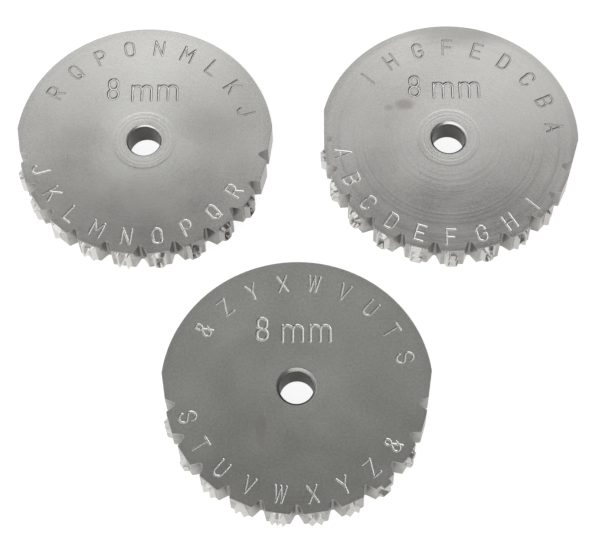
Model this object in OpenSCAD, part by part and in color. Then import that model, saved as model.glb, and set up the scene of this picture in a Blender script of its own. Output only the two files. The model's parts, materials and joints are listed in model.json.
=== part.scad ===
// Set of three letter type wheels for characters 8 mm tall.
// Each wheel is one turned and milled steel disc with a plain bore. Ten teeth cut in its rim carry
// nine raised, mirrored letters and a blank. The flat upper face has an index of the same letters,
// cut twice: beside the teeth, and again across the wheel, where a letter reads upright while its
// tooth faces down. The wheels lie flat in a triangle, with z = 0 as the plane they rest on.

/* [Wheel] */
// Diameter over the smooth rim and over the raised letters
wheel_d = 83; // [82:0.5:86]
// Thickness of the disc
wheel_t = 10; // [10:0.1:12]
// Diameter of the plain bore
bore_d = 10.5; // [6:0.5:16]
// Chamfer around the bore on the underside
bore_chamfer_under = 0.3; // [0.1:0.1:0.8]
// Chamfer around the bore on the upper face of the wheel A to I
bore_chamfer_a_to_i = 0.7; // [0.2:0.1:1]
// Chamfer around the bore on the upper face of the wheel J to R
bore_chamfer_j_to_r = 0.5; // [0.2:0.1:1]
// Chamfer around the bore on the upper face of the wheel S to &
bore_chamfer_s_to_ampersand = 0.9; // [0.2:0.1:1]

/* [Teeth] */
// Teeth and gaps that would fill the whole rim: sets the angle from tooth to tooth
teeth_round = 22; // [20:1:24]
// Distance from the wheel's axis to the flat face of a tooth
tooth_face = 40.15; // [39.9:0.05:40.3]
// Distance from the axis to the end flats beside the first and last notch
end_flat = 40.1; // [39.8:0.05:40.3]
// Distance from the axis to the root of a notch
notch_root = 37.35; // [37:0.05:37.6]
// Angle between the two walls of a notch
notch_angle = 60; // [50:1:64]
// Radius in the root of a notch
notch_root_r = 0.8; // [0.4:0.1:1]

/* [Raised letters] */
// Width of a raised letter over its printing face
type_w = 3.1; // [3:0.1:3.3]
// Width of the flat printing face of a stroke
type_land = 0.3; // [0.2:0.05:0.35]
// Width of a stroke where it meets the tooth
type_foot = 2.1; // [1.2:0.1:2.1]

/* [Engraving] */
// Height of an index letter, between the centre lines of its strokes
index_h = 5.2; // [4.5:0.1:5.4]
// Width of an index letter, between the centre lines of its strokes
index_w = 2.8; // [2.4:0.1:3]
// Distance from the axis to the outer end of an index letter
index_out = 36.9; // [36:0.1:37]
// Width of an index letter's groove at the face
index_groove = 0.6; // [0.4:0.05:0.7]
// Height of the size mark's figure, between the centre lines of its strokes
mark_h = 7.3; // [6:0.1:7.6]
// Width of the size mark's grooves at the face
mark_groove = 0.85; // [0.6:0.05:0.9]
// Width of a groove's flat floor, as a part of its width at the face
groove_floor = 0.45; // [0.2:0.05:0.6]
// Depth of every groove
groove_depth = 0.2; // [0.15:0.05:0.3]

/* [Index rows] */
// How far the index of the wheel A to I sits off its axis, towards -Y
drop_a_to_i = 0.9; // [0:0.1:1]
// Turn of the row beside the teeth against the teeth, on the wheel A to I, in degrees
beside_turn_a_to_i = -0.9; // [-1.5:0.1:1.5]
// Turn of the row across the wheel, on the wheel A to I, in degrees
across_turn_a_to_i = -0.9; // [-1.5:0.1:1.5]
// Turn of the row beside the teeth, on the wheel J to R, in degrees
beside_turn_j_to_r = 0.5; // [-1.5:0.1:1.5]
// Turn of the row across the wheel, on the wheel J to R, in degrees
across_turn_j_to_r = 1.5; // [-1.5:0.1:1.5]
// Turn of the row beside the teeth, on the wheel S to &, in degrees
beside_turn_s_to_ampersand = -0.2; // [-1.5:0.1:1.5]
// Turn of the row across the wheel, on the wheel S to &, in degrees
across_turn_s_to_ampersand = -0.9; // [-1.5:0.1:1.5]

/* [Layout] */
// Distance from one wheel's axis to the next in the triangle
spacing = 98; // [92:1:140]

/* [Hidden] */
$fn = 96;
past = 1;                                  // how far a cutting shape runs past the surface it cuts
groove_past = 0.1;                         // the same for the engraving
wheel_r = wheel_d / 2;
bore_r = bore_d / 2;
pitch = 360 / teeth_round;                 // angle from one tooth to the next
teeth = 10;                                // nine with a letter, then a blank
front = 270;                               // direction of the middle notch, towards -Y
type_h = 8;                                // height of a letter's printing face: the 8 mm of the mark
relief = wheel_r - tooth_face;             // how far a letter stands out of its tooth
bend_step = 30;                            // the most that a stroke turns at one point, in degrees
layout_h = spacing * sin(60);              // depth of the triangle between the axes
same = 0.01;                               // two points of a path closer than this are one point

// Direction of the centre line of tooth n, counted from 0, with n = 0 the first letter's
function tooth_angle(n) = front + (n - (teeth - 1) / 2) * pitch;

// Points along an arc about (x, y), from angle a to angle b
function arc(x, y, r, a, b) = let (steps = ceil(abs(b - a) / bend_step))
    [for (i = [0 : steps]) let (t = a + (b - a) * i / steps) [x + r * cos(t), y + r * sin(t)]];

// The rounded side of B, D, P and R: from the top of the stem, out to x, and back in below
function bowl(y_low, y_high, x, r) = concat(
    [[0, y_high]], arc(x - r, y_high - r, r, 90, 0), arc(x - r, y_low + r, r, 0, -90), [[0, y_low]]);

// A closed loop with half-round ends, between y_low and y_high
function loop(y_low, y_high, x_low, x_high) = let (r = (x_high - x_low) / 2, x = x_low + r)
    concat(arc(x, y_high - r, r, 0, 180), arc(x, y_low + r, r, 180, 360), [[x_high, y_high - r]]);

// The strokes of a character w wide and h tall. Each is a path along its stroke's centre line, with
// gentle bends only, so a letter with a sharp corner has a path on each side of it. A path that
// ends where it starts is closed.
function strokes(c, w, h) = let (r = w / 2, mid = h / 2, b = min(r, h / 4))
    c == "A" ? [[[0, 0], [r, h]], [[r, h], [w, 0]], [[0.15 * w, 0.3 * h], [0.85 * w, 0.3 * h]]] :
    c == "B" ? [[[0, 0], [0, h]], bowl(mid, h, w, b), bowl(0, mid, w, b)] :
    c == "C" ? [concat(arc(r, h - r, r, 0, 180), arc(r, r, r, 180, 360))] :
    c == "D" ? [[[0, 0], [0, h]], bowl(0, h, w, r)] :
    c == "E" ? [[[0, 0], [0, h]], [[0, h], [w, h]], [[0, mid], [0.85 * w, mid]], [[0, 0], [w, 0]]] :
    c == "F" ? [[[0, 0], [0, h]], [[0, h], [w, h]], [[0, mid], [0.85 * w, mid]]] :
    c == "G" ? [concat(arc(r, h - r, r, 0, 180), arc(r, r, r, 180, 360), [[w, 0.45 * h]]),
                [[w, 0.45 * h], [0.6 * w, 0.45 * h]]] :
    c == "H" ? [[[0, 0], [0, h]], [[w, 0], [w, h]], [[0, mid], [w, mid]]] :
    c == "I" ? [[[r, 0], [r, h]]] :
    c == "J" ? [concat([[w, h]], arc(r, r, r, 0, -180))] :
    c == "K" ? [[[0, 0], [0, h]], [[0, 0.38 * h], [w, h]], [[0.32 * w, 0.58 * h], [w, 0]]] :
    c == "L" ? [[[0, 0], [0, h]], [[0, 0], [w, 0]]] :
    c == "M" ? [[[0, 0], [0, h]], [[0, h], [r, 0.4 * h]], [[r, 0.4 * h], [w, h]], [[w, h], [w, 0]]] :
    c == "N" ? [[[0, 0], [0, h]], [[0, h], [w, 0]], [[w, 0], [w, h]]] :
    c == "O" ? [loop(0, h, 0, w)] :
    c == "P" ? [[[0, 0], [0, h]], bowl(0.45 * h, h, w, b)] :
    c == "Q" ? [loop(0, h, 0, w), [[0.55 * w, 0.24 * h], [w, 0]]] :
    c == "R" ? [[[0, 0], [0, h]], bowl(0.45 * h, h, w, b), [[0.5 * w, 0.45 * h], [w, 0]]] :
    c == "S" ? [concat(arc(r, h - r, r, 0, 180), [[0.06 * w, 0.62 * h], [0.3 * w, 0.54 * h],
                [0.7 * w, 0.46 * h], [0.94 * w, 0.38 * h]], arc(r, r, r, 0, -180))] :
    c == "T" ? [[[0, h], [w, h]], [[r, 0], [r, h]]] :
    c == "U" ? [concat([[0, h]], arc(r, r, r, 180, 360), [[w, h]])] :
    c == "V" ? [[[0, h], [r, 0]], [[r, 0], [w, h]]] :
    c == "W" ? [[[0, h], [w / 4, 0]], [[w / 4, 0], [r, h]], [[r, h], [0.75 * w, 0]],
                [[0.75 * w, 0], [w, h]]] :
    c == "X" ? [[[0, 0], [w, h]], [[0, h], [w, 0]]] :
    c == "Y" ? [[[0, h], [r, mid]], [[r, mid], [w, h]], [[r, 0], [r, mid]]] :
    c == "Z" ? [[[0, h], [w, h]], [[w, h], [0, 0]], [[0, 0], [w, 0]]] :
    c == "&" ? [loop(h - 0.68 * w, h, 0.14 * w, 0.74 * w), [[0.44 * w, h - 0.68 * w], [w, 0]],
                concat([[0.44 * w, h - 0.68 * w]], arc(0.38 * w, 0.38 * w, 0.38 * w, 150, 330),
                    [[w, 0.42 * h]])] :
    c == "8" ? [loop(mid, h, 0.06 * w, 0.94 * w), loop(0, mid, 0, w)] :
    c == "m" ? [[[0, 0], [0, h]], for (x = [0, r])
                concat([[x, h - r / 2]], arc(x + r / 2, h - r / 2, r / 2, 150, 0), [[x + r, 0]])] : [];

// Width of a character where most are w wide
function width(c, w) = c == "M" || c == "W" ? 1.2 * w : w;

// A path without points that repeat the one before
function spaced(path) = [for (i = [0 : len(path) - 1])
    if (i == 0 || norm(path[i] - path[max(i - 1, 0)]) > same) path[i]];

// Unit vector from point a to point b, and the same turned a quarter turn to the left
function along(a, b) = (b - a) / norm(b - a);
function left(v) = [-v[1], v[0]];

// Where a stroke's left side passes point i, for a stroke of half-width 1 that comes in along a
// and leaves along b: bends are mitred
function mitre(a, b) = (left(a) + left(b)) / (1 + a * b);

// One stroke with sloped sides and ends along a path, of half-width low_half at z_low and
// high_half at z_high. The ends of an open stroke run on by its half-width.
module stroke(path, z_low, low_half, z_high, high_half) {
    all = spaced(path);
    closed = norm(all[0] - all[len(all) - 1]) < same;
    n = closed ? len(all) - 1 : len(all);
    last = n - 1;
    corners = [[1, low_half, z_low], [-1, low_half, z_low],
        [-1, high_half, z_high], [1, high_half, z_high]];
    points = [for (i = [0 : last]) let (
            a = closed || i > 0 ? along(all[(i + last) % n], all[i]) : along(all[0], all[1]),
            b = closed || i < last ? along(all[i], all[(i + 1) % n]) : a,
            ahead = closed ? [0, 0] : i == 0 ? -b : i == last ? a : [0, 0],
            m = mitre(a, b))
        for (c = corners) let (p = all[i] + c[1] * (c[0] * m + ahead)) [p[0], p[1], c[2]]];
    walls = [for (i = [0 : closed ? last : last - 1], j = [0 : 3])
        let (next = 4 * ((i + 1) % n), k = (j + 1) % 4)
            [4 * i + j, 4 * i + k, next + k, next + j]];
    caps = closed ? [] : [[0, 3, 2, 1], [for (j = [0 : 3]) 4 * last + j]];
    polyhedron(points, concat(walls, caps));
}

// A raised letter in the plane z = 0, centred on x = 0, mirrored: its foot is at y = 0 and its top
// towards -Y. It is rooted a little below that plane, and its sloped sides stop short of both faces
// of the disc. The ampersand's loops are too tight for wide strokes, so its own are narrower there.
module raised_letter(c) {
    rooted = 0.1;
    short = 0.05;
    w = width(c, type_w - type_land);
    foot = c == "&" ? w / 2 : type_foot;
    slope = (foot - type_land) / 2 / relief;
    intersection() {
        translate([-w / 2, -type_land / 2, 0]) for (path = strokes(c, w, type_h - type_land))
            stroke([for (p = path) [p[0], -p[1]]],
                -rooted, foot / 2 + rooted * slope, relief, type_land / 2);
        translate([-wheel_r, short - (wheel_t + type_h) / 2, -past])
            cube([wheel_d, wheel_t - 2 * short, relief + 2 * past]);
    }
}

// The cutting shape of an engraved character w wide and h tall, below z = 0 with its foot on y = 0
module engraved(c, w, h, groove) {
    half = groove / 2;
    slope = half * (1 - groove_floor) / groove_depth;
    for (path = strokes(c, w, h))
        stroke(path, -groove_depth, half * groove_floor, groove_past, half + groove_past * slope);
}

// The mark 8 mm, in the plane z = 0
module size_mark() {
    figure = [-12.2, 15.3, 0];             // lower left end of the figure's strokes
    figure_w = 3.2;
    letter_w = 6.1;
    letter_h = 5.4;
    letter_x = [-4.3, 4.2];                // left ends of the two letters
    letter_y = 14.7;
    translate(figure) engraved("8", figure_w, mark_h, mark_groove);
    for (x = letter_x) translate([x, letter_y, 0]) engraved("m", letter_w, letter_h, mark_groove);
}

// A V-notch along +X from the axis, with a rounded root
module notch() {
    half = notch_angle / 2;
    centre = notch_root + notch_root_r;
    out = wheel_r + past;
    wall = arc(centre, 0, notch_root_r, 90 + half, 270 - half);
    mouth = wall[0][1] + (out - wall[0][0]) * tan(half);
    polygon(concat(wall, [[out, -mouth], [out, mouth]]));
}

// All that lies outside the plane at distance d from the axis, towards +X
module beyond(d) {
    translate([d, -wheel_r]) square([wheel_r, wheel_d]);
}

// Outline of the disc, teeth and notches, turned about the axis by turn
module outline(turn) {
    difference() {
        circle(r = wheel_r);
        for (n = [0 : teeth - 1]) rotate(tooth_angle(n) + turn) beyond(tooth_face);
        for (n = [0, teeth]) rotate(tooth_angle(n - 0.5) + turn) beyond(end_flat);
        for (n = [0 : teeth]) rotate(tooth_angle(n - 0.5) + turn) notch();
    }
}

// The bore with its chamfers, as a cutting shape
module bore(chamfer) {
    rotate_extrude() polygon([
        [0, -past], [bore_r + bore_chamfer_under + past, -past], [bore_r, bore_chamfer_under],
        [bore_r, wheel_t - chamfer], [bore_r + chamfer + past, wheel_t + past], [0, wheel_t + past]]);
}

// The index, in the plane z = 0: a row of letters beside their teeth, and a row of the same letters
// across the wheel. Both rows sit off the axis by drop, and each is turned a little.
module index(letters, turn, drop, beside_turn, across_turn) {
    translate([0, -drop, 0])
        for (row = [[-index_out, beside_turn], [index_out - index_h, across_turn]])
            for (n = [0 : len(letters) - 1]) let (w = width(letters[n], index_w))
                rotate(tooth_angle(n) + turn + 90 + row[1]) translate([-w / 2, row[0], 0])
                    engraved(letters[n], w, index_h, index_groove);
}

// One wheel, on its own axis, with its nine letters. Its teeth are turned by turn from the size mark.
// The last three values place its index.
module wheel(letters, turn, chamfer, drop, beside_turn, across_turn) {
    difference() {
        union() {
            linear_extrude(wheel_t) outline(turn);
            for (n = [0 : len(letters) - 1]) rotate(tooth_angle(n) + turn)
                translate([tooth_face, 0, (wheel_t + type_h) / 2]) rotate([90, 0, 90])
                    raised_letter(letters[n]);
        }
        bore(chamfer);
        translate([0, 0, wheel_t]) {
            size_mark();
            index(letters, turn, drop, beside_turn, across_turn);
        }
    }
}

module wheel_a_to_i() {
    color([0.70, 0.70, 0.68]) translate([spacing / 2, layout_h / 2, 0])
        wheel("ABCDEFGHI", -pitch / 2, bore_chamfer_a_to_i,
            drop_a_to_i, beside_turn_a_to_i, across_turn_a_to_i);
}

module wheel_j_to_r() {
    color([0.72, 0.72, 0.71]) translate([-spacing / 2, layout_h / 2, 0])
        wheel("JKLMNOPQR", 0, bore_chamfer_j_to_r, 0, beside_turn_j_to_r, across_turn_j_to_r);
}

module wheel_s_to_ampersand() {
    color([0.52, 0.52, 0.50]) translate([0, -layout_h / 2, 0])
        wheel("STUVWXYZ&", 0, bore_chamfer_s_to_ampersand,
            0, beside_turn_s_to_ampersand, across_turn_s_to_ampersand);
}

wheel_a_to_i();
wheel_j_to_r();
wheel_s_to_ampersand();
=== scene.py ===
import json
import math

import bmesh
import bpy
import numpy as np
from mathutils import Matrix, Vector
from mathutils.geometry import delaunay_2d_cdt


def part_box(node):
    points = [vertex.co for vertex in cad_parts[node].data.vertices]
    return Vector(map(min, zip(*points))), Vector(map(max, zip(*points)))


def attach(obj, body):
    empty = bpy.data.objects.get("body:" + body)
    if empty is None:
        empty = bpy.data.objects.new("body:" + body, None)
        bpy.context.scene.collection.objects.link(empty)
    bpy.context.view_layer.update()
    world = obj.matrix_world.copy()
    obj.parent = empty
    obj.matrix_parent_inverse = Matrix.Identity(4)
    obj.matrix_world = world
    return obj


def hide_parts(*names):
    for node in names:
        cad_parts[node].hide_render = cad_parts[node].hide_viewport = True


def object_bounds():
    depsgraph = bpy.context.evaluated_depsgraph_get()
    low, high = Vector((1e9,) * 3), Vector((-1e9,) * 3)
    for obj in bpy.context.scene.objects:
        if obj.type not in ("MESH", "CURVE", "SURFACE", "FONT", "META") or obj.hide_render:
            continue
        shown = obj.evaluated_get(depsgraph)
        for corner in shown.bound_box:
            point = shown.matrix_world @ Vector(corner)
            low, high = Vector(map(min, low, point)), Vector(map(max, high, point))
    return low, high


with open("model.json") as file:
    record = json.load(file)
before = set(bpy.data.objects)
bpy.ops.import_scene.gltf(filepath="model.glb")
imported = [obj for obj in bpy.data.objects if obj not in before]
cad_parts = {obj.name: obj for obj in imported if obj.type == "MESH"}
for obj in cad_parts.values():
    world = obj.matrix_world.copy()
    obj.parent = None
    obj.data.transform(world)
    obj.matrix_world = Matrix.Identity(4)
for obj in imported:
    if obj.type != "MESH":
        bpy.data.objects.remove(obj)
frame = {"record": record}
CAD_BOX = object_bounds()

# Three steel letter type wheels. Shapes are worked out in millimetres about each wheel's own axis
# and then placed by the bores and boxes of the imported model. Angles are in degrees from +X.
MM = 0.001

# Wheel
THICK = (CAD_BOX[1][2] - CAD_BOX[0][2]) / MM
BORE_CHAMFER_UNDER = 0.3
BORE_STEPS = 96                  # points around the bore
BORE_SOFT = 0.05                 # rounding of the bore's edges
FACE_SAG, WALL_SAG = 0.2, 0.3    # parts of that by which its middle lies off the face and the wall
BORE_ROWS = 0.66, 0.33           # parts of the thickness where the wall has more points
EDGE = 0.12                      # rounding along the rim's edges
EDGE_ANGLES = [0, 30, 60, 90]    # where that rounding has its points
CORNER = 0.3                     # rounding of a tooth's upright corners
CORNER_STEPS = 4
GUARD = 0.06                     # narrow flat strip that keeps a rounded edge from shading the face
HEIGHTS = np.linspace(EDGE, THICK - EDGE, 7)    # of the rows of points up a wall

# Teeth
PITCH = 360 / 22
TEETH = 10
FRONT = 270                      # the teeth are centred on this direction
TOOTH_FACE = 40.15               # from the axis
FACE_STEPS = 12                  # steps along a tooth's face
INSIDE = 0.01                    # how far the rim stays inside the box
END_FLAT = 40.1                  # flat beside the first and the last notch, from the axis
NOTCH_ROOT = 37.35               # deepest point of a notch, from the axis
NOTCH_ROOT_R = 0.8
NOTCH_HALF = 30                  # half of a notch's angle
ROOT_POINTS = 9
RIM_STEP = 1.0                   # degrees between points of the smooth rim

# Raised letters
TYPE_H, TYPE_W, TYPE_LAND, TYPE_FOOT = 8, 3.1, 0.3, 2.1
TYPE_GUARD = 0.02                # the flat strip around a letter
TYPE_SHORT = 0.05                # how far a letter's sloped sides stop short of a tooth's edges
TYPE_END_SLOPE = 4               # how steeply they end there
TYPE_LIFT = 0.02                 # a face this far off the tooth's own face is part of the letter

# Engraving
INDEX_H, INDEX_W, INDEX_OUT, INDEX_GROOVE = 5.2, 2.8, 36.9, 0.6
MARK_H, MARK_GROOVE = 7.3, 0.85
# character, x, y, width, height
MARK = [("8", -12.2, 15.3, 3.2, MARK_H), ("m", -4.3, 14.7, 6.1, 5.4), ("m", 4.2, 14.7, 6.1, 5.4)]
GROOVE_DEPTH = 0.2
GROOVE_FLOOR = 0.45              # a groove's flat floor, as a part of its width at the face
LEVEL = 0.01                     # a face this near the level of the disc or of a floor counts as it

# Mesh
BEND_STEP = 12                   # the most that a stroke turns at one point, in degrees
STROKE_STEP = 0.35               # longest step along a stroke
SPLINE_PARTS = 5                 # steps between two points of a smooth curve
CAP_POINTS = 5                   # points around the end of a stroke
TYPE_SOFT = 0.03                 # how far the edge of a raised letter is rounded
GROOVE_SOFT = 0.06               # the same for the engraving
SOFT_REACH = 4                   # a stroke has no effect further off than this many roundings
LONG_SLOPE = 8                   # a slope longer than this many roundings gets a line halfway up
SAME = 0.01                      # points and lines closer than this are taken as one
NEAR = 0.004                     # the triangulation joins points closer than this
SHARP = 38                       # edges that turn by more than this are shaded as sharp

# Points inside the flat faces, which keep the triangles there short
TYPE_FILL_ACROSS, TYPE_FILL_UP = np.arange(-3, 3.1, 0.3), np.arange(0.4, 9.7, 0.3)
TYPE_FILL_CLEAR = 0.1            # how far these stay from the letter's own lines
TOP_FILL = [(8, 12), (11, 12), (14, 6), (24, 6), (27, 6), (30, 6)]    # radius, degrees apart
TOP_FILL_CLEAR = 1               # how far these stay from the engraving
UNDER_FILL = [(8, 8), (14, 8), (22, 8), (30, 8)]


def unit(v):
    return v / np.hypot(*v)


def polar(angle, r=1.0):
    a = math.radians(angle)
    return np.array([r * math.cos(a), r * math.sin(a)])


def turned(points, angle):
    c, s = polar(angle)
    return np.asarray(points, float) @ np.array([[c, s], [-s, c]])


# ---- Letter strokes. Their numbers are the letters' own proportions ----

def arc(x, y, r, a, b):
    """Points about (x, y), from angle a to angle b."""
    steps = max(1, math.ceil(abs(b - a) / BEND_STEP))
    return [tuple(np.array([x, y]) + polar(a + (b - a) * i / steps, r)) for i in range(steps + 1)]


def bowl(low, high, x, r):
    """The right side of a D that reaches from low to high and out to x."""
    return ([(0, high)] + arc(x - r, high - r, r, 90, 0) + arc(x - r, low + r, r, 0, -90)
            + [(0, low)])


def loop(low, high, x_low, x_high):
    """A closed oval with straight sides."""
    r = (x_high - x_low) / 2
    x = x_low + r
    return arc(x, high - r, r, 0, 180) + arc(x, low + r, r, 180, 360) + [(x_high, high - r)]


def smooth(points):
    """A Catmull-Rom curve through the points."""
    p = [np.array(q, float) for q in points]
    p = [2 * p[0] - p[1]] + p + [2 * p[-1] - p[-2]]
    out = []
    for i in range(1, len(p) - 2):
        for k in range(SPLINE_PARTS):
            t = k / SPLINE_PARTS
            out.append(tuple(0.5 * (2 * p[i] + (p[i + 1] - p[i - 1]) * t
                       + (2 * p[i - 1] - 5 * p[i] + 4 * p[i + 1] - p[i + 2]) * t * t
                       + (3 * p[i] - p[i - 1] - 3 * p[i + 1] + p[i + 2]) * t ** 3)))
    return out + [tuple(p[-2])]


def width(c, w):
    """Width of a character where most are w wide."""
    return 1.2 * w if c in "MW" else w


def strokes(c, w, h):
    """The centre lines of a character w wide and h high, with its lower left corner at 0, 0."""
    r, mid = w / 2, h / 2
    b = min(r, h / 4)
    stem = [(0, 0), (0, h)]
    round_left = arc(r, h - r, r, 0, 180) + arc(r, r, r, 180, 360)
    if c == "A":
        return [[(0, 0), (r, h)], [(r, h), (w, 0)], [(0.15 * w, 0.3 * h), (0.85 * w, 0.3 * h)]]
    if c == "B":
        return [stem, bowl(mid, h, w, b), bowl(0, mid, w, b)]
    if c == "C":
        return [round_left]
    if c == "D":
        return [stem, bowl(0, h, w, r)]
    if c == "E":
        return [stem, [(0, h), (w, h)], [(0, mid), (0.85 * w, mid)], [(0, 0), (w, 0)]]
    if c == "F":
        return [stem, [(0, h), (w, h)], [(0, mid), (0.85 * w, mid)]]
    if c == "G":
        return [round_left + [(w, 0.45 * h)], [(w, 0.45 * h), (0.6 * w, 0.45 * h)]]
    if c == "H":
        return [stem, [(w, 0), (w, h)], [(0, mid), (w, mid)]]
    if c == "I":
        return [[(r, 0), (r, h)]]
    if c == "J":
        return [[(w, h)] + arc(r, r, r, 0, -180)]
    if c == "K":
        return [stem, [(0, 0.38 * h), (w, h)], [(0.32 * w, 0.58 * h), (w, 0)]]
    if c == "L":
        return [stem, [(0, 0), (w, 0)]]
    if c == "M":
        return [stem, [(0, h), (r, 0.4 * h)], [(r, 0.4 * h), (w, h)], [(w, h), (w, 0)]]
    if c == "N":
        return [stem, [(0, h), (w, 0)], [(w, 0), (w, h)]]
    if c == "O":
        return [loop(0, h, 0, w)]
    if c == "P":
        return [stem, bowl(0.45 * h, h, w, b)]
    if c == "Q":
        return [loop(0, h, 0, w), [(0.55 * w, 0.24 * h), (w, 0)]]
    if c == "R":
        return [stem, bowl(0.45 * h, h, w, b), [(0.5 * w, 0.45 * h), (w, 0)]]
    if c == "S":
        spine = [(0, h - r), (0.06 * w, 0.62 * h), (0.3 * w, 0.54 * h), (0.7 * w, 0.46 * h),
                 (0.94 * w, 0.38 * h), (w, r)]
        return [arc(r, h - r, r, 0, 180)[:-1] + smooth(spine) + arc(r, r, r, 0, -180)[1:]]
    if c == "T":
        return [[(0, h), (w, h)], [(r, 0), (r, h)]]
    if c == "U":
        return [[(0, h)] + arc(r, r, r, 180, 360) + [(w, h)]]
    if c == "V":
        return [[(0, h), (r, 0)], [(r, 0), (w, h)]]
    if c == "W":
        return [[(0, h), (w / 4, 0)], [(w / 4, 0), (r, h)], [(r, h), (0.75 * w, 0)],
                [(0.75 * w, 0), (w, h)]]
    if c == "X":
        return [[(0, 0), (w, h)], [(0, h), (w, 0)]]
    if c == "Y":
        return [[(0, h), (r, mid)], [(r, mid), (w, h)], [(r, 0), (r, mid)]]
    if c == "Z":
        return [[(0, h), (w, h)], [(w, h), (0, 0)], [(0, 0), (w, 0)]]
    if c == "&":
        cross = (0.44 * w, h - 0.68 * w)
        return [loop(h - 0.68 * w, h, 0.14 * w, 0.74 * w), [cross, (w, 0)],
                [cross] + arc(0.38 * w, 0.38 * w, 0.38 * w, 150, 330) + [(w, 0.42 * h)]]
    if c == "8":
        return [loop(mid, h, 0.06 * w, 0.94 * w), loop(0, mid, 0, w)]
    if c == "m":
        return [stem] + [[(x, h - r / 2)] + arc(x + r / 2, h - r / 2, r / 2, 150, 0) + [(x + r, 0)]
                         for x in (0, r)]
    raise ValueError(c)


def stepped(path, step):
    """The path with no repeated points and no step longer than step. Returns it and if it closes."""
    p = [np.array(path[0], float)]
    for q in path[1:]:
        q = np.array(q, float)
        d = np.hypot(*(q - p[-1]))
        if d < SAME:
            continue
        n = max(1, math.ceil(d / step))
        a = p[-1]
        p += [a + (q - a) * (i + 1) / n for i in range(n)]
    closed = np.hypot(*(p[0] - p[-1])) < SAME
    return np.array(p[:-1] if closed else p), closed


def mitres(p, closed):
    """At each point of a path, how far and which way its left side at distance 1 lies."""
    d = np.roll(p, -1, 0) - p
    d /= np.hypot(*d.T)[:, None]
    before = np.roll(d, 1, 0)
    if not closed:
        d[-1] = before[-1]
        before[0] = d[0]
    left = np.stack([-d[:, 1], d[:, 0]], 1)
    left_before = np.stack([-before[:, 1], before[:, 0]], 1)
    return (left + left_before) / (1 + (d * before).sum(1))[:, None]


def around(p, closed, dist):
    """Closed lines at a distance on both sides of a path, with round ends."""
    m = mitres(p, closed)
    if closed:
        return [p + dist * m, p - dist * m]

    def cap(end, side):
        a = math.degrees(math.atan2(side[1], side[0]))
        return np.array([end + polar(a - 180 * k / (CAP_POINTS + 1), dist)
                         for k in range(1, CAP_POINTS + 1)])

    return [np.concatenate([p + dist * m, cap(p[-1], m[-1]), (p - dist * m)[::-1],
                            cap(p[0], -m[0])])]


# ---- Meshes ----

# what a face of a mesh belongs to, and the attributes that tell the steel so
FACE, WALL, TYPE, CHAMFER, BORE, CUT, FLOOR = range(7)
ATTRIBUTES = {WALL: "wall", TYPE: "type", BORE: "bore", CUT: "cut", FLOOR: "floor"}


class Relief:
    """Strokes that raise or cut a face, and the lines its mesh needs to show them."""

    def __init__(self, low_y=-math.inf, high_y=math.inf):
        self.groups = []             # one for each call of add
        self.ends = low_y, high_y    # the strokes stop short of these

    def add(self, paths, inner, outer, height, soft, guard=GUARD):
        """Adds strokes along paths. They rise by height between the distances outer and inner from
        a path. soft is how far both edges are rounded, and guard the flat strip outside."""
        steps = [stepped(p, STROKE_STEP) for p in paths]
        seg = []
        for p, closed in steps:
            q = np.concatenate([p, p[:1]]) if closed else p
            seg.append(np.concatenate([q[:-1], q[1:]], 1))
        seg = np.concatenate(seg)
        reach = SOFT_REACH * soft
        low = np.minimum(seg[:, :2], seg[:, 2:]).min(0) - outer - reach
        high = np.maximum(seg[:, :2], seg[:, 2:]).max(0) + outer + reach
        self.groups.append((steps, seg, inner, outer, height, soft, guard, low, high))

    def segments(self):
        return np.concatenate([group[1] for group in self.groups])

    @staticmethod
    def distance(points, seg):
        """From each point to the nearest of the segments."""
        best = np.full(len(points), np.inf)
        for a, b in zip(seg[:, :2], seg[:, 2:]):
            d = b - a
            t = np.clip(((points - a) @ d) / (d @ d), 0, 1)
            best = np.minimum(best, np.hypot(*(points - a - t[:, None] * d).T))
        return best

    def heights(self, points):
        """How far the strokes raise the face at the points. Negative where they cut it."""
        out = np.zeros(len(points))
        for _, seg, inner, outer, height, soft, _, low, high in self.groups:
            near = np.nonzero(((points > low) & (points < high)).all(1))[0]
            if len(near) == 0:
                continue
            d = self.distance(points[near], seg)
            slope = outer - inner
            up = self.bent(outer - d, soft)
            left = self.bent(slope - up, soft)
            out[near] += height * np.clip(1 - left / slope, 0, 1)
        low_y, high_y = self.ends
        room = np.minimum(points[:, 1] - low_y, high_y - points[:, 1])
        return np.minimum(out, np.maximum(room, 0) * TYPE_END_SLOPE)

    @staticmethod
    def bent(x, soft):
        """The larger of x and 0, with the bend between the two rounded."""
        return np.where(x < -soft, 0, np.where(x > soft, x, (x + soft) ** 2 / (4 * soft)))

    def lines(self):
        """Points and edges along the centre lines and along the edges of every stroke."""
        points, edges, count = [], [], 0
        for steps, seg, inner, outer, _, soft, guard, _, _ in self.groups:
            levels = [inner - soft, inner, inner + soft, outer - soft, outer, outer + soft,
                      outer + soft + guard]
            if outer - inner > LONG_SLOPE * soft:
                levels.append((inner + outer) / 2)
            for p, closed in steps:
                for level in [0] + levels:
                    lines = [p] if level == 0 else around(p, closed, level)
                    for line in lines:
                        ring = closed or level > 0
                        d = self.distance(line, seg)
                        keep = d > level - SAME
                        n = len(line)
                        points.append(line)
                        for i in range(n if ring else n - 1):
                            j = (i + 1) % n
                            if keep[i] or keep[j]:
                                edges.append((count + i, count + j))
                        count += n
        points, edges = np.concatenate(points), np.array(edges)
        low_y, high_y = self.ends
        inside = (points[:, 1] > low_y + TYPE_SHORT) & (points[:, 1] < high_y - TYPE_SHORT)
        edges = edges[inside[edges].all(1)]
        used, edges = np.unique(edges, return_inverse=True)
        return points[used], edges.reshape(-1, 2)


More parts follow.
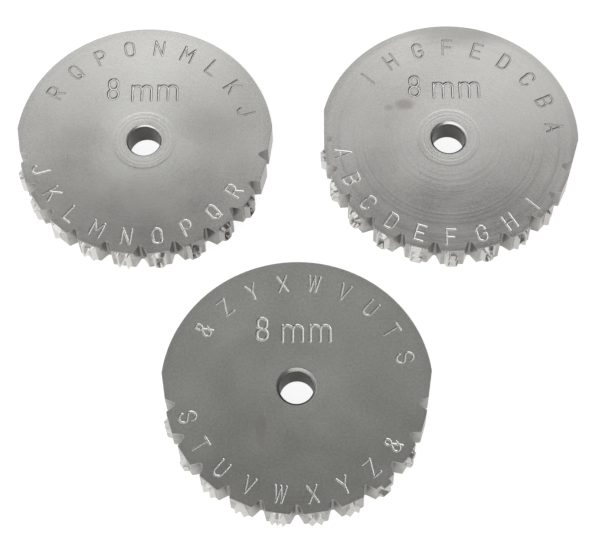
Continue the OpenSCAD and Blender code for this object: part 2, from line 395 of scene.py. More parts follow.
class Shell:
    """Vertices and faces of one closed mesh, in millimetres."""

    def __init__(self):
        self.co, self.faces = [], []
        self.parts = []              # what each face belongs to, for the steel's look

    def mark(self, part):
        """Notes the part that the faces added since the last call belong to."""
        self.parts += [part] * (len(self.faces) - len(self.parts))

    def add(self, points):
        first = len(self.co)
        self.co.extend(tuple(p) for p in points)
        return list(range(first, len(self.co)))

    def strip(self, low, high):
        """A band of faces between two rings of points."""
        n = len(low)
        for i in range(n):
            j = (i + 1) % n
            self.faces.append((low[i], low[j], high[j], high[i]))

    def fill(self, outer, outer_ids, holes, relief, place, extra=()):
        """Fills a flat outline with triangles that carry its relief. place turns plane points and
        heights into the mesh's points. holes are lines with the numbers of their points, and extra
        is a list of points inside."""
        loops = [np.asarray(outer)] + [np.asarray(h) for h, _ in holes]
        ids = list(outer_ids) + [i for _, h in holes for i in h]
        points, edges, count = [], [], 0
        for line in loops:
            n = len(line)
            points.append(line)
            edges += [(count + i, count + (i + 1) % n) for i in range(n)]
            count += n
        if relief is not None:
            p, e = relief.lines()
            points.append(p)
            edges += [tuple(k) for k in (e + count)]
        if len(extra):
            points.append(np.asarray(extra))
        points = np.concatenate(points)
        out = delaunay_2d_cdt([Vector(p) for p in points], [tuple(map(int, e)) for e in edges],
                              [], 0, NEAR, True)
        xy = np.array([tuple(v) for v in out[0]])
        tris = np.array([t for t in out[2] if len(t) == 3])
        middle = xy[tris].mean(1)
        inside = within(middle, loops[0])
        for hole in loops[1:]:
            inside &= ~within(middle, hole)
        where = {}
        owner, spot = np.full(len(xy), -1), np.zeros(len(xy), int)
        home = [(k, i) for k, line in enumerate(loops) for i in range(len(line))]
        for k, source in enumerate(out[3]):
            fixed = [s for s in source if s < len(ids)]
            if fixed:
                where[k] = ids[fixed[0]]
                owner[k], spot[k] = home[fixed[0]]
        # beside an outline, which way round a triangle runs says better which side it is on
        sizes = np.array([len(line) for line in loops])
        for k in range(3):
            a, b = tris[:, k], tris[:, (k + 1) % 3]
            both = (owner[a] == owner[b]) & (owner[a] >= 0)
            n = sizes[owner[a]]
            along = both & ((spot[a] + 1) % n == spot[b])
            against = both & ((spot[b] + 1) % n == spot[a])
            inside[along] = owner[a][along] == 0
            inside[against] = owner[a][against] > 0
        tris = tris[inside]
        height = relief.heights(xy) if relief is not None else np.zeros(len(xy))
        fresh = [k for k in np.unique(tris) if k not in where]
        new = self.add(place(xy[fresh], height[fresh]))
        where.update(zip(fresh, new))
        self.faces += [tuple(where[k] for k in t) for t in tris]


def within(points, ring):
    """Which points lie inside a closed line."""
    x, y = points[:, 0], points[:, 1]
    inside = np.zeros(len(points), bool)
    for (x0, y0), (x1, y1) in zip(ring, np.roll(ring, -1, 0)):
        if y0 == y1:
            continue
        cut = (y0 > y) != (y1 > y)
        inside ^= cut & (x < x0 + (y - y0) * (x1 - x0) / (y1 - y0))
    return inside


def crossing(p, d, normal, dist):
    """Where the line from p along d meets the plane at dist along normal."""
    return p + d * ((dist - p @ normal) / (d @ normal))


def rounded(a, corner, b):
    """The corner between the sides to a and b, as an arc."""
    u, v = unit(a - corner), unit(b - corner)
    half = math.acos(np.clip(u @ v, -1, 1)) / 2
    centre = corner + unit(u + v) * CORNER / math.sin(half)
    p = corner + u * CORNER / math.tan(half) - centre
    q = corner + v * CORNER / math.tan(half) - centre
    total = math.pi - 2 * half
    parts = [k / CORNER_STEPS for k in range(CORNER_STEPS + 1)]
    return [centre + (math.sin(total * (1 - t)) * p + math.sin(total * t) * q) / math.sin(total)
            for t in parts]


def outline(turn, wheel_r):
    """The wheel's outline in plan, counterclockwise. Also the numbers of the first and last point of
    each tooth's face, and each tooth's angle."""
    notch = [FRONT + (k - TEETH / 2) * PITCH + turn for k in range(TEETH + 1)]
    tooth = [FRONT + (n - (TEETH - 1) / 2) * PITCH + turn for n in range(TEETH)]
    root_arc = [np.array([NOTCH_ROOT + NOTCH_ROOT_R, 0]) + polar(a, NOTCH_ROOT_R)
                for a in np.linspace(270 - NOTCH_HALF, 90 + NOTCH_HALF, ROOT_POINTS)]
    wall = polar(NOTCH_HALF)

    def mouth(k, side, normal, dist):
        """Where one side of a notch, -1 or 1, meets the flat at dist along normal."""
        p = turned([root_arc[-1] * (1, side)], notch[k])[0]
        d = turned([wall * (1, side)], notch[k])[0]
        return crossing(p, d, normal, dist)

    corners = []
    end_low, end_high = polar(notch[0]), polar(notch[-1])
    for k in range(TEETH + 1):
        if k in (0, TEETH):
            end = end_low if k == 0 else end_high
            low, high = mouth(k, -1, end, END_FLAT), mouth(k, 1, end, END_FLAT)
        else:
            low = mouth(k, -1, polar(tooth[k - 1]), TOOTH_FACE)
            high = mouth(k, 1, polar(tooth[k]), TOOTH_FACE)
        corners.append((low, list(turned(root_arc, notch[k])), high))

    # where the end flats meet the rim and bend into the first and the last tooth's face
    flat_half = math.degrees(math.acos(END_FLAT / wheel_r))
    rim_low = polar(notch[0] - flat_half, wheel_r)
    rim_high = polar(notch[-1] + flat_half, wheel_r)
    bend_low = np.linalg.solve(np.array([end_low, polar(tooth[0])]),
                               np.array([END_FLAT, TOOTH_FACE]))
    bend_high = np.linalg.solve(np.array([end_high, polar(tooth[-1])]),
                                np.array([END_FLAT, TOOTH_FACE]))

    points, spans, first = [rim_low], [], None
    for k, (low, root, high) in enumerate(corners):
        before = rim_low if k == 0 else bend_high if k == TEETH else corners[k - 1][2]
        after = rim_high if k == TEETH else bend_low if k == 0 else corners[k + 1][0]
        if k > 0:
            spans.append((first, len(points) - 1 if k == TEETH else len(points)))
        points += rounded(before, low, root[0])
        points += root
        points += rounded(root[-1], high, after)
        if k == 0:
            points.append(bend_low)
        if k < TEETH:
            first = len(points) - 1
            start = points[-1]
            stop = (bend_high if k == TEETH - 1
                    else rounded(high, corners[k + 1][0], corners[k + 1][1][0])[0])
            points += [start + (stop - start) * i / FACE_STEPS for i in range(1, FACE_STEPS)]
        if k == TEETH - 1:
            points.append(bend_high)
    start, stop = notch[-1] + flat_half, notch[0] - flat_half + 360
    n = math.ceil((stop - start) / RIM_STEP)
    points += [polar(start + (stop - start) * i / n, wheel_r) for i in range(n)]
    return np.array(points), spans, tooth


def add_walls(shell, edge, spans, bottom, top):
    """Upright walls between two rings, but for the faces in spans. Returns the rows of points."""
    skip = {i for a, b in spans for i in range(a, b)}
    inner = {i for a, b in spans for i in range(a + 1, b)}
    keep = [i for i in range(len(edge)) if i not in inner]
    rows = [bottom]
    for z in HEIGHTS[1:-1]:
        row = dict(zip(keep, shell.add([(*edge[i], z) for i in keep])))
        rows.append([row.get(i) for i in range(len(edge))])
    rows.append(top)
    for a, b in zip(rows, rows[1:]):
        for i in range(len(edge)):
            if i not in skip:
                j = (i + 1) % len(edge)
                shell.faces.append((a[i], a[j], b[j], b[i]))
    shell.mark(WALL)
    return rows


def add_letter(shell, letter, angle, span, edge, rows, relief_h):
    """The face of the tooth at an angle, with its raised letter. It is worked out in a plane with x
    across the tooth and y up."""
    across, out = polar(angle + 90), polar(angle)
    a, b = span
    x, up = edge[a:b + 1] @ across, HEIGHTS[1:-1]
    border = ([(v, HEIGHTS[0]) for v in x] + [(x[-1], z) for z in up]
              + [(v, HEIGHTS[-1]) for v in x[::-1]] + [(x[0], z) for z in up[::-1]])
    ids = (rows[0][a:b + 1] + [row[b] for row in rows[1:-1]]
           + rows[-1][a:b + 1][::-1] + [row[a] for row in rows[1:-1]][::-1])
    w = width(letter, TYPE_W - TYPE_LAND)
    half_land, half_foot = TYPE_LAND / 2, (w / 2 if letter == "&" else TYPE_FOOT) / 2
    # flipped top to bottom, which makes it the mirror image that prints the right way round
    foot = (THICK + TYPE_H) / 2 - half_land
    paths = [[(px - w / 2, foot - py) for px, py in path]
             for path in strokes(letter, w, TYPE_H - TYPE_LAND)]
    relief = Relief(HEIGHTS[0], HEIGHTS[-1])
    relief.add(paths, half_land, half_foot, relief_h, TYPE_SOFT, TYPE_GUARD)
    fill = np.array([(v, z) for v in TYPE_FILL_ACROSS for z in TYPE_FILL_UP])
    d = relief.distance(fill, relief.segments())
    levels = np.array([0, half_land, (half_land + half_foot) / 2, half_foot])
    clear = (np.abs(d[:, None] - levels) > TYPE_FILL_CLEAR).all(1)

    def place(points, h):
        xy = np.outer(points[:, 0], across) + np.outer(TOOTH_FACE + h, out)
        return np.column_stack([xy, points[:, 1]])

    count = len(shell.faces)
    shell.fill(border, ids, [], relief, place, fill[clear & (d < half_foot)])
    for face in shell.faces[count:]:
        lift = max(shell.co[i][0] * out[0] + shell.co[i][1] * out[1] for i in face) - TOOTH_FACE
        shell.parts.append(TYPE if lift > TYPE_LIFT else WALL)


def add_bore(shell, bore_r, chamfer):
    """The bore's wall and chamfers, from the upper face down. Returns its outermost ring at the top
    and at the bottom, each as plane points and their numbers."""
    s, under = BORE_SOFT, BORE_CHAMFER_UNDER
    upper = [(bore_r + chamfer + s + 2 * GUARD, THICK), (bore_r + chamfer + s, THICK),
             (bore_r + chamfer, THICK - FACE_SAG * s), (bore_r + chamfer - s, THICK - s),
             (bore_r + s, THICK - chamfer + s), (bore_r + WALL_SAG * s, THICK - chamfer),
             (bore_r, THICK - chamfer - s)]
    lower = [(bore_r, THICK * BORE_ROWS[0]), (bore_r, THICK * BORE_ROWS[1]), (bore_r, under + s),
             (bore_r + WALL_SAG * s, under), (bore_r + s, under - s), (bore_r + under - s, s),
             (bore_r + under, FACE_SAG * s), (bore_r + under + s, 0),
             (bore_r + under + s + 2 * GUARD, 0)]
    circle = np.array([polar(a) for a in np.arange(BORE_STEPS) * 360 / BORE_STEPS])
    rings = [shell.add(np.column_stack([circle * r, np.full(BORE_STEPS, z)]))
             for r, z in upper + lower]
    for k, (a, b) in enumerate(zip(rings, rings[1:])):
        shell.strip(a, b)
        shell.mark(CHAMFER if k < len(upper) - 1 else BORE)
    return (circle * upper[0][0], rings[0]), (circle * lower[-1][0], rings[-1])


def engraving(letters, tooth, drop, beside_turn, across_turn):
    """The letters beside the teeth and again across the wheel, and the mark 8 mm."""
    relief = Relief()
    half = INDEX_GROOVE / 2
    for t, letter in enumerate(letters):
        for foot, row_turn in ((-INDEX_OUT, beside_turn), (INDEX_OUT - INDEX_H, across_turn)):
            w = width(letter, INDEX_W)
            paths = [turned([(x - w / 2, y + foot) for x, y in p], tooth[t] + 90 + row_turn)
                     - np.array([0, drop]) for p in strokes(letter, w, INDEX_H)]
            relief.add(paths, half * GROOVE_FLOOR, half, -GROOVE_DEPTH, GROOVE_SOFT)
    half = MARK_GROOVE / 2
    for letter, x0, y0, w, h in MARK:
        paths = [[(x + x0, y + y0) for x, y in p] for p in strokes(letter, w, h)]
        relief.add(paths, half * GROOVE_FLOOR, half, -GROOVE_DEPTH, GROOVE_SOFT)
    return relief


def circles(table):
    return np.array([polar(a, r) for r, apart in table for a in np.arange(0, 360, apart)])


def add_faces(shell, inset, top, bottom, bore_top, bore_bottom, relief):
    """The upper face with its engraving, and the plain underside."""
    count = len(shell.faces)
    fill = circles(TOP_FILL)
    fill = fill[relief.distance(fill, relief.segments()) > TOP_FILL_CLEAR]
    shell.fill(inset, top, [bore_top], relief,
               lambda xy, h: np.column_stack([xy, THICK + h]), fill)
    for face in shell.faces[count:]:
        depths = [THICK - shell.co[i][2] for i in face]
        shell.parts.append(FACE if max(depths) < LEVEL
                           else CUT if min(depths) < GROOVE_DEPTH - LEVEL else FLOOR)
    shell.fill(inset, bottom, [bore_bottom], None, lambda xy, h: np.column_stack([xy, h]),
               circles(UNDER_FILL))
    shell.mark(FACE)


def build_wheel(name, letters, turn, bore_chamfer, drop, beside_turn, across_turn):
    """One wheel in place of its CAD node. Returns it with its axis and its radius."""
    _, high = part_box(name)
    mount = next(m for m in frame["record"]["mounts"] if m["name"] == name.replace("wheel", "bore"))
    axis = np.array(mount["pos_m"][:2]) / MM
    wheel_r = high.y / MM - axis[1] - INSIDE
    edge, spans, tooth = outline(turn, wheel_r)
    side = mitres(edge, True)
    shell = Shell()

    # the rim's rounded edges, as rings from the flat faces outwards
    profile = [(EDGE + GUARD, 0)] + [(EDGE * (1 - math.sin(math.radians(a))),
                                      EDGE * (1 - math.cos(math.radians(a)))) for a in EDGE_ANGLES]
    bottom, top = [[shell.add(np.column_stack([edge + side * inset, np.full(len(edge), z)]))
                    for inset, z in rings]
                   for rings in (profile, [(inset, THICK - z) for inset, z in profile])]
    for rings in (bottom, top):
        for a, b in zip(rings, rings[1:]):
            shell.strip(a, b)
    shell.mark(FACE)

    lettered = spans[:len(letters)]
    rows = add_walls(shell, edge, lettered, bottom[-1], top[-1])
    for letter, angle, span in zip(letters, tooth, lettered):
        add_letter(shell, letter, angle, span, edge, rows, wheel_r - TOOTH_FACE)
    bore_top, bore_bottom = add_bore(shell, mount["dims"]["r_mm"], bore_chamfer)
    add_faces(shell, edge + side * (EDGE + GUARD), top[0], bottom[0], bore_top, bore_bottom,
              engraving(letters, tooth, drop, beside_turn, across_turn))

    co = np.array(shell.co)
    co[:, :2] += axis
    mesh = bpy.data.meshes.new(name + "_steel")
    mesh.from_pydata([tuple(p) for p in co * MM], [], shell.faces)
    for part, attribute in ATTRIBUTES.items():
        flags = mesh.attributes.new(attribute, "FLOAT", "FACE")
        flags.data.foreach_set("value", [float(k == part) for k in shell.parts])
    bm = bmesh.new()
    bm.from_mesh(mesh)
    bmesh.ops.recalc_face_normals(bm, faces=bm.faces)
    bm.to_mesh(mesh)
    bm.free()
    mesh.polygons.foreach_set("use_smooth", [True] * len(mesh.polygons))
    mesh.set_sharp_from_angle(angle=math.radians(SHARP))
    obj = bpy.data.objects.new(name + "_turned", mesh)
    bpy.context.scene.collection.objects.link(obj)
    shade = obj.modifiers.new("face_normals", "WEIGHTED_NORMAL")
    shade.keep_sharp = True
    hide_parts(name)
    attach(obj, name)
    return obj, axis, wheel_r


# ---- Steel ----

# Between these the look changes: millimetres from the axis,
NEAR_BORE = 9.6, 10.6            # where the deep turning rings around the bore end
PALE = 8, 22                     # where the paler middle ends
# parts of the wheel's radius,
RIM_SHADE = 0.93, 0.97                 # where the rim's painted shade begins
NOTCH_SHADE = 0.9, 0.965          # where the painted shade deep in the notches ends
# and millimetres from the axis towards +Y or +X
RING_FADE = -12, 8                    # towards +Y, where the rings and bands fade
CUT_LIGHT_SWAP = -4, 3                 # towards +Y, where the engraving's painted highlight and painted shade change
SHADE_TOWARDS_X = -6, 26                   # towards +X, where painted shade darkens the rim and the raised letters

# Noise as scale, detail and roughness: along the radius in millimetres,
FINE_RINGS = 7, 2, 0.5
COARSE_RINGS = 0.9, 3, 0.5
# and in space in metres
MOTTLE = 70, 5, 0.6
SMEAR = 16, 3, 0.6
GRAIN = 2600, 3, 0.6
SPECKLE = 1300, 4, 0.7
RAGGED = 330, 4, 0.6
SCRATCH = 260, 3, 0.5
NOISE_MID = 0.5
MOST, CORE = (0.3, 0.7), (0.35, 0.65)    # where nearly all of a noise lies, and a little less

# The upper face's tone runs from 0, dark, to 1, light
BASE_TONE = 0.35
MOTTLE_TONE = 0.2
RING_TONE = 1.2
STAIN_SOFT, STAIN_RAGGED = 0.9, 0.7    # how soft a patch's edge is, and how much less if ragged
STAIN_OUT = 1 / 3                      # the edge reaches out this part of how far it reaches in

# the colour of the painted shade, and how strong it is at a notch's root
SHADE_DARK = 0.10, 0.093, 0.085
NOTCH_SHADE_DEPTH = 0.62
# the bore's colours: painted shade, dark with paler scratches
BORE_SHADE_DARK, BORE_SHADE_PALE = (0.035, 0.0335, 0.031), (0.072, 0.069, 0.064)
WALL_DARK, WALL_LIGHT = 0.72, 1.06     # scratches on a wall, against its colour
FLOOR_NEAR_SHADE, FLOOR_FAR_HIGHLIGHT = 0.6, 1.25      # grooves' floors against the face's light colour: painted shade towards -Y, painted highlight beyond

ROUGH_MOTTLE, ROUGH_RINGS, ROUGH_BORE = 0.03, 0.1, 0.15    # what these add to the roughness
ROUGH_CUT = 0.24                       # the engraving's own roughness
BUMP = 0.02 * MM
COARSE_BUMP = 1.5                      # how much deeper the coarse rings are than the fine ones


def tinted(colour, amount=1):
    return (*[amount * c for c in colour], 1)


def steel(name, axis, wheel_r, light, dark, wall, letter, cut, cut_far_painted_light, side_shade, rough, aniso,
          rings_bore, rings, rings_far, bands, grain, mottling, speckling, paleness, rim_shade,
          patches):
    """Turned steel.

    light and dark are the upper face's colours, wall the rim's, letter the raised letters', and cut
    and cut_far_painted_light the engraving walls' colours on the half towards -Y and on the other: a
    painted highlight and a painted shade, or on S to & two painted highlights. grime is how far
    painted shade darkens the rim and the raised letters towards +X. rings_bore and rings are how
    deep the turning rings are near the bore and further out, and rings_far the part of that left
    towards +Y. bands are single rings as (part of the wheel's radius, width, how dark). patches are
    stains, pale and dark spots, and on J to R a painted reflection and painted shade, as (x, y,
    half-length, half-width, how ragged, colour, how strong)."""
    mat = bpy.data.materials.new(name)
    mat.use_nodes = True
    nodes, links = mat.node_tree.nodes, mat.node_tree.links
    nodes.clear()

    def put(socket, value):
        if hasattr(value, "is_output"):
            links.new(value, socket)
        else:
            socket.default_value = value

    def maths(op, a, b=0.0, clamp=False):
        m = nodes.new("ShaderNodeMath")
        m.operation = op
        m.use_clamp = clamp
        put(m.inputs[0], a)
        put(m.inputs[1], b)
        return m.outputs[0]

    def vector(op, a, b):
        m = nodes.new("ShaderNodeVectorMath")
        m.operation = op
        put(m.inputs[0], a)
        put(m.inputs[1], b)
        return m.outputs["Value" if op in ("LENGTH", "DOT_PRODUCT") else "Vector"]

    def spread(value, low, high, to_low, to_high, kind="LINEAR"):
        """Maps low to high onto to_low to to_high."""
        m = nodes.new("ShaderNodeMapRange")
        m.interpolation_type = kind
        for socket, v in zip(("From Min", "From Max", "To Min", "To Max"),
                             (low, high, to_low, to_high)):
            m.inputs[socket].default_value = v
        put(m.inputs["Value"], value)
        return m.outputs["Result"]

    def noise(scale, detail, roughness, along=None):
        """Noise in space, or along a distance."""
        tex = nodes.new("ShaderNodeTexNoise")
        tex.inputs["Scale"].default_value = scale
        tex.inputs["Detail"].default_value = detail
        tex.inputs["Roughness"].default_value = roughness
        if along is None:
            put(tex.inputs["Vector"], coord)
        else:
            tex.noise_dimensions = "1D"
            put(tex.inputs["W"], along)
        return tex.outputs["Fac"]

    def blend(factor, a, b):
        m = nodes.new("ShaderNodeMix")
        m.data_type = "RGBA"
        put(m.inputs["Factor"], factor)
        put(m.inputs["A"], a)
        put(m.inputs["B"], b)
        return m.outputs["Result"]

    def flag(attribute):
        node = nodes.new("ShaderNodeAttribute")
        node.attribute_name = attribute
        return node.outputs["Fac"]

    def bump(height, strength, normal=None):
        node = nodes.new("ShaderNodeBump")
        node.inputs["Strength"].default_value = strength
        node.inputs["Distance"].default_value = BUMP
        put(node.inputs["Height"], height)
        if normal is not None:
            put(node.inputs["Normal"], normal)
        return node.outputs[0]

    coord = nodes.new("ShaderNodeTexCoord").outputs["Object"]
    centred = vector("MULTIPLY", vector("SUBTRACT", coord, (axis[0] * MM, axis[1] * MM, 0)),
                     (1, 1, 0))
    radius = maths("DIVIDE", vector("LENGTH", centred, (0, 0, 0)), MM)
    to_y = vector("DOT_PRODUCT", centred, (0, 1 / MM, 0))
    to_x = vector("DOT_PRODUCT", centred, (1 / MM, 0, 0))

    # turning rings, deep near the bore and fading towards +Y
    # how strongly the rings and bands show, fading towards +Y
    ring_fade = spread(to_y, *RING_FADE, 1, rings_far, "SMOOTHSTEP")
    fine = noise(*FINE_RINGS, along=radius)
    coarse = noise(*COARSE_RINGS, along=radius)
    near_bore = spread(radius, *NEAR_BORE, 1, 0, "SMOOTHSTEP")
    depth = maths("ADD", maths("MULTIPLY", near_bore, rings_bore), maths("MULTIPLY", ring_fade, rings))
    ring_tone = maths("ADD", fine, maths("SUBTRACT", coarse, 2 * NOISE_MID))
    ring_tone = maths("MULTIPLY", ring_tone, depth)

    # the upper face: mottled, paler in the middle, and darker at the rim by painted shade
    mottle = noise(*MOTTLE)
    tone = maths("ADD", spread(mottle, *MOST, -MOTTLE_TONE, MOTTLE_TONE),
                 spread(noise(*SMEAR), *CORE, -MOTTLE_TONE, MOTTLE_TONE))
    tone = maths("ADD", maths("MULTIPLY", tone, mottling), BASE_TONE)
    pale = spread(radius, *PALE, 1, 0, "SMOOTHSTEP")
    tone = maths("ADD", tone, maths("MULTIPLY", pale, paleness))
    tone = maths("ADD", tone, maths("MULTIPLY", ring_tone, RING_TONE))
    tone = maths("ADD", tone, spread(noise(*SPECKLE), *MOST, -speckling, speckling))
    for part, breadth, how_dark in bands:
        off = maths("ABSOLUTE", maths("SUBTRACT", radius, part * wheel_r))
        band = spread(off, 0, breadth, how_dark, 0, "SMOOTHSTEP")
        tone = maths("SUBTRACT", tone, maths("MULTIPLY", band, ring_fade))
    rim = spread(radius, *[part * wheel_r for part in RIM_SHADE], 0, 1, "SMOOTHSTEP")
    tone = maths("SUBTRACT", tone, maths("MULTIPLY", rim, rim_shade), clamp=True)
    colour = blend(tone, tinted(dark), tinted(light))

    ragged_noise = noise(*RAGGED)
    for x, y, length, breadth, ragged, tint, strength in patches:
        at = vector("SUBTRACT", centred, (x * MM, y * MM, 0))
        at = vector("MULTIPLY", at, (1 / MM / length, 1 / MM / breadth, 0))
        far = maths("ADD", vector("LENGTH", at, (0, 0, 0)),
                    maths("MULTIPLY", maths("SUBTRACT", ragged_noise, NOISE_MID), 2 * ragged))
        soft = STAIN_SOFT - STAIN_RAGGED * ragged
        cover = spread(far, 1 - soft, 1 + STAIN_OUT * soft, strength, 0, "SMOOTHSTEP")
        colour = blend(cover, colour, tinted(tint))

    # walls are scratched, with painted shade deep in the notches and towards +X
    scratch = spread(noise(*SCRATCH), *MOST, 0, 1)
    wall_colour = blend(scratch, tinted(wall, WALL_DARK), tinted(wall, WALL_LIGHT))
    # painted shade deep in the notches
    notch = spread(radius, *[part * wheel_r for part in NOTCH_SHADE], NOTCH_SHADE_DEPTH, 0)
    wall_colour = blend(notch, wall_colour, tinted(SHADE_DARK))
    # painted shade that darkens the rim and the raised letters towards +X
    side_shade_mask = spread(to_x, *SHADE_TOWARDS_X, 0, side_shade, "SMOOTHSTEP")
    colour = blend(flag("wall"), colour, blend(side_shade_mask, wall_colour, tinted(SHADE_DARK)))
    colour = blend(flag("type"), colour, blend(side_shade_mask, tinted(letter), tinted(SHADE_DARK)))
    # the engraving's walls and floors: painted highlight and painted shade, changing between the
    # half towards -Y and the other
    turn = spread(to_y, *CUT_LIGHT_SWAP, 0, 1, "SMOOTHSTEP")
    colour = blend(flag("cut"), colour, blend(turn, tinted(cut), tinted(cut_far_painted_light)))
    colour = blend(flag("floor"), colour,
                   blend(turn, tinted(light, FLOOR_NEAR_SHADE), tinted(light, FLOOR_FAR_HIGHLIGHT)))
    # the bore: painted shade, with paler scratches
    colour = blend(flag("bore"), colour, blend(scratch, tinted(BORE_SHADE_DARK), tinted(BORE_SHADE_PALE)))

    roughness = maths("ADD", spread(mottle, *MOST, rough - ROUGH_MOTTLE, rough + ROUGH_MOTTLE),
                      maths("MULTIPLY", maths("SUBTRACT", fine, NOISE_MID), ROUGH_RINGS))
    roughness = maths("ADD", roughness, maths("MULTIPLY", flag("bore"), ROUGH_BORE))
    roughness = maths("ADD", roughness, maths("MULTIPLY", flag("cut"), ROUGH_CUT - rough))
    rings_bump = maths("ADD", fine, maths("MULTIPLY", coarse, COARSE_BUMP))
    normal = bump(maths("MULTIPLY", rings_bump, depth), 1)
    normal = bump(noise(*GRAIN), grain, normal)

    bsdf = nodes.new("ShaderNodeBsdfPrincipled")
    bsdf.inputs["Metallic"].default_value = 1
    put(bsdf.inputs["Anisotropic"], aniso)
    put(bsdf.inputs["Base Color"], colour)
    put(bsdf.inputs["Roughness"], roughness)
    put(bsdf.inputs["Normal"], normal)
    tangent = nodes.new("ShaderNodeTangent")
    tangent.direction_type = "RADIAL"
    tangent.axis = "Z"
    put(bsdf.inputs["Tangent"], tangent.outputs[0])
    out = nodes.new("ShaderNodeOutputMaterial")
    links.new(bsdf.outputs[0], out.inputs[0])
    return mat


# colours of pale and dark patches, and of a stain
PALE_PATCH, DARK_PATCH, STAIN = (0.78, 0.775, 0.75), (0.41, 0.403, 0.385), (0.34, 0.30, 0.26)
# CAD node, its letters, how far its teeth are turned, its bore's upper chamfer, how far its index is
# off the axis towards -Y, how far the rows beside and across are turned, and its steel
WHEELS = [
    ("wheel_a_to_i", "ABCDEFGHI", -PITCH / 2, 0.7, (0.9, -0.9, -0.9),
     dict(light=(0.72, 0.713, 0.69), dark=(0.48, 0.472, 0.452), wall=(0.40, 0.385, 0.36),
          letter=(0.56, 0.553, 0.535), cut=(0.90, 0.89, 0.86), cut_far_painted_light=(0.30, 0.294, 0.28),
          side_shade=0.15, rough=0.28, aniso=0.5, rings_bore=0.9, rings=0.35, rings_far=0.25,
          bands=[(0.855, 0.8, 0.4), (0.735, 0.6, 0.4), (0.665, 0.5, 0.3), (0.236, 0.35, 0.5)],
          grain=0.3, mottling=1, speckling=0.25, paleness=0.3, rim_shade=0.3,
          patches=[(24, 16, 30, 24, 0.1, PALE_PATCH, 0.5), (-6, -11, 13, 8, 0.2, PALE_PATCH, 0.4),
                   (6, 40.5, 20, 7.5, 0.3, DARK_PATCH, 0.9), (-14, 12.2, 3.6, 2.2, 0.4, STAIN, 0.55),
                   (-19, 11.2, 1.8, 1.2, 0.4, STAIN, 0.45)])),
    ("wheel_j_to_r", "JKLMNOPQR", 0, 0.5, (0, 0.5, 1.5),
     dict(light=(0.735, 0.73, 0.70), dark=(0.46, 0.455, 0.434), wall=(0.40, 0.39, 0.365),
          letter=(0.62, 0.613, 0.592), cut=(0.90, 0.89, 0.86), cut_far_painted_light=(0.30, 0.294, 0.28),
          side_shade=0.5, rough=0.28, aniso=0.5, rings_bore=0.9, rings=0.1, rings_far=0.7,
          bands=[(0.24, 0.3, 0.3)],
          grain=0.3, mottling=0.85, speckling=0.25, paleness=0.4, rim_shade=0.1,
          # the first two patches are painted light: a painted reflection over the back half and
          # painted shade over the front half
          patches=[(0, 26, 44, 20, 0.1, (0.78, 0.775, 0.745), 0.35),
                   (-14, -27, 40, 19, 0.1, (0.42, 0.413, 0.395), 0.5),
                   (20, 5, 11, 7, 0.3, (0.48, 0.47, 0.45), 0.4),
                   (-21, 1, 10, 5, 0.3, (0.48, 0.47, 0.45), 0.35)])),
    ("wheel_s_to_ampersand", "STUVWXYZ&", 0, 0.9, (0, -0.2, -0.9),
     dict(light=(0.57, 0.57, 0.54), dark=(0.40, 0.397, 0.374), wall=(0.42, 0.41, 0.385),
          letter=(0.60, 0.593, 0.573), cut=(0.86, 0.86, 0.83), cut_far_painted_light=(0.72, 0.72, 0.69),
          side_shade=0.1, rough=0.40, aniso=0.2, rings_bore=0.4, rings=0.03, rings_far=1, bands=[],
          grain=0.5, mottling=0.5, speckling=0.4, paleness=0.1, rim_shade=0.1,
          patches=[(-10.8, -13.5, 1.8, 6, 0.4, (0.36, 0.335, 0.31), 0.4)])),
]
for name, letters, turn, chamfer, index, look in WHEELS:
    obj, axis, wheel_r = build_wheel(name, letters, turn, chamfer, *index)
    obj.data.materials.append(steel(name + "_finish", axis, wheel_r, **look))


# ---- Stage, light and camera ----

STAGE_HALF = 3.0                 # metres
STAGE_GREY, STAGE_ROUGH, STAGE_SPECULAR = 0.3, 0.9, 0.1
STAGE_GLOW = 0.9                 # keeps the floor an even white in the render
WORLD_STRENGTH = 0.17
LIGHT_AWAY = 1.5                 # metres
# direction from +X towards +Y and height in degrees, width and height in metres, radiance
LIGHTS = [
    ("back_box", 90, 46, (1.8, 0.75), 1.15),
    ("front_top_box", 265, 58, (0.9, 0.55), 1.3),
    ("front_low_box", 253, 29, (2.6, 0.9), 1.35),
    ("left_box", 182, 34, (1.0, 1.1), 1.35),
    ("back_left_box", 143, 28, (0.9, 0.9), 1.2),
]
# where the camera stands as seen from its aim, up and from -Y round towards +X, and its roll
CAMERA_UP, CAMERA_ASIDE, CAMERA_ROLL = [math.radians(a) for a in (65.98, 2.05, -2.35)]
CAMERA_AIM, CAMERA_AWAY = Vector((0.96, 0.385, 0)), 603.8    # millimetres
CAMERA_LENS, CAMERA_SENSOR = 114.14, 36


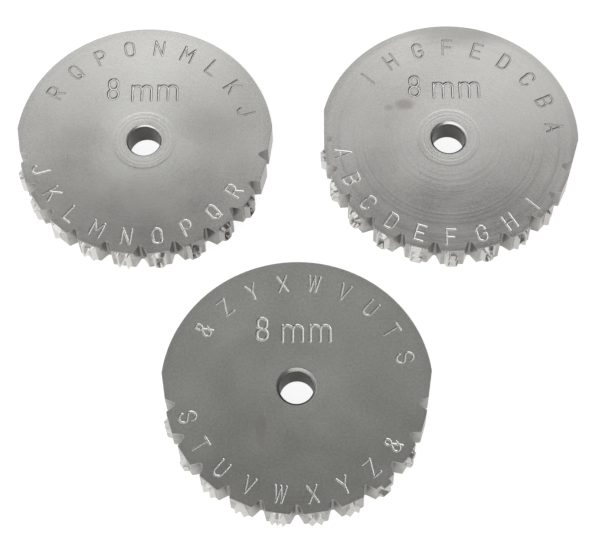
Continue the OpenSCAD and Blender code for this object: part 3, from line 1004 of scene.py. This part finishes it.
def softbox(name, direction, elevation, size, radiance):
    """A rectangular light that faces the wheels."""
    data = bpy.data.lights.new(name, "AREA")
    data.shape = "RECTANGLE"
    data.size, data.size_y = size
    data.energy = radiance * math.pi * size[0] * size[1]
    obj = bpy.data.objects.new(name, data)
    bpy.context.scene.collection.objects.link(obj)
    a, e = math.radians(direction), math.radians(elevation)
    place = Vector((math.cos(a) * math.cos(e), math.sin(a) * math.cos(e), math.sin(e)))
    obj.location = place * LIGHT_AWAY
    obj.rotation_euler = obj.location.to_track_quat("Z", "Y").to_euler()


F = STAGE_HALF
stage_mesh = bpy.data.meshes.new("floor")
stage_mesh.from_pydata([(-F, -F, 0), (F, -F, 0), (F, F, 0), (-F, F, 0)], [], [(0, 1, 2, 3)])
stage = bpy.data.objects.new("floor", stage_mesh)
bpy.context.scene.collection.objects.link(stage)
pale = bpy.data.materials.new("floor_white")
pale.use_nodes = True
inputs = pale.node_tree.nodes["Principled BSDF"].inputs
inputs["Base Color"].default_value = tinted([STAGE_GREY] * 3)
inputs["Roughness"].default_value = STAGE_ROUGH
inputs["Specular IOR Level"].default_value = STAGE_SPECULAR
inputs["Emission Color"].default_value = (1, 1, 1, 1)
inputs["Emission Strength"].default_value = STAGE_GLOW
stage_mesh.materials.append(pale)

world = bpy.data.worlds.new("studio")
bpy.context.scene.world = world
world.use_nodes = True
background = world.node_tree.nodes["Background"].inputs
background[0].default_value = (1, 1, 1, 1)
background[1].default_value = WORLD_STRENGTH

for light in LIGHTS:
    softbox(*light)

back = Vector((math.sin(CAMERA_ASIDE) * math.cos(CAMERA_UP),
               -math.cos(CAMERA_ASIDE) * math.cos(CAMERA_UP), math.sin(CAMERA_UP)))
right = Vector((0, 0, 1)).cross(back).normalized()
up = back.cross(right)
right, up = (math.cos(CAMERA_ROLL) * right + math.sin(CAMERA_ROLL) * up,
             -math.sin(CAMERA_ROLL) * right + math.cos(CAMERA_ROLL) * up)
cam = bpy.data.cameras.new("camera")
cam.sensor_width = CAMERA_SENSOR
cam.sensor_fit = "HORIZONTAL"
cam.lens = CAMERA_LENS
cam_obj = bpy.data.objects.new("camera", cam)
bpy.context.scene.collection.objects.link(cam_obj)
cam_obj.matrix_world = (Matrix.Translation(CAMERA_AIM * MM + back * CAMERA_AWAY * MM)
                        @ Matrix((right, up, back)).transposed().to_4x4())
bpy.context.scene.camera = cam_obj
bpy.context.scene.view_settings.view_transform = "Standard"
